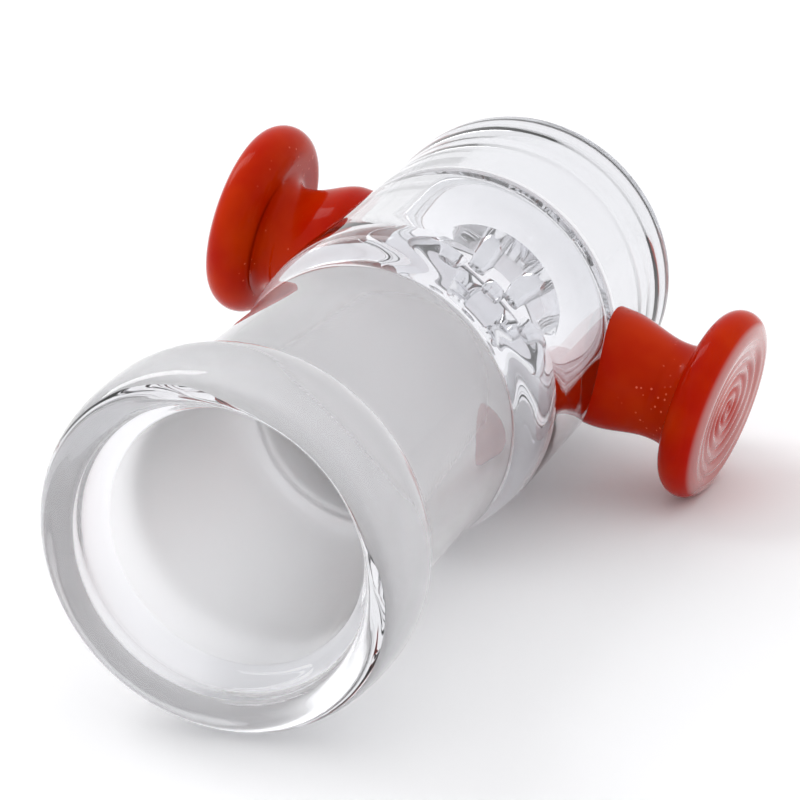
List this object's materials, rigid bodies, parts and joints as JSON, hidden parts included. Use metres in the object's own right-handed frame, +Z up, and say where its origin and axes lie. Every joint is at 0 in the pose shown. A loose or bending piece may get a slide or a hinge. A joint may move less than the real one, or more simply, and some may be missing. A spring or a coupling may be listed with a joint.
{
  "type": "ground-joint glass filter bowl",
  "caption": "Short clear glass bowl with a frosted ground taper socket, a thick rounded rim, a perforated glass screen fused inside and red mushroom-shaped side knobs.",
  "frame": {"origin": "on the bench, below the middle of the tube as it lies on its side", "axes": "+Y along the tube from the socket's mouth to the bowl's lip, +X towards the right knob's side, +Z up"},
  "size_m": [0.0461, 0.062, 0.027],
  "materials": {
    "clear_glass": "clear borosilicate, fire-polished",
    "socket_glass": "clear and fire-polished outside, finely ground and frosted in the taper",
    "red_glass": "deep red glass, glossy, worked in the flame"
  },
  "bodies": {
    "root": {"joint_socket": "socket_glass", "bowl_tube": "clear_glass", "screen_disc": "clear_glass", "left_knob": "red_glass", "right_knob": "red_glass"}
  },
  "joints": []
}
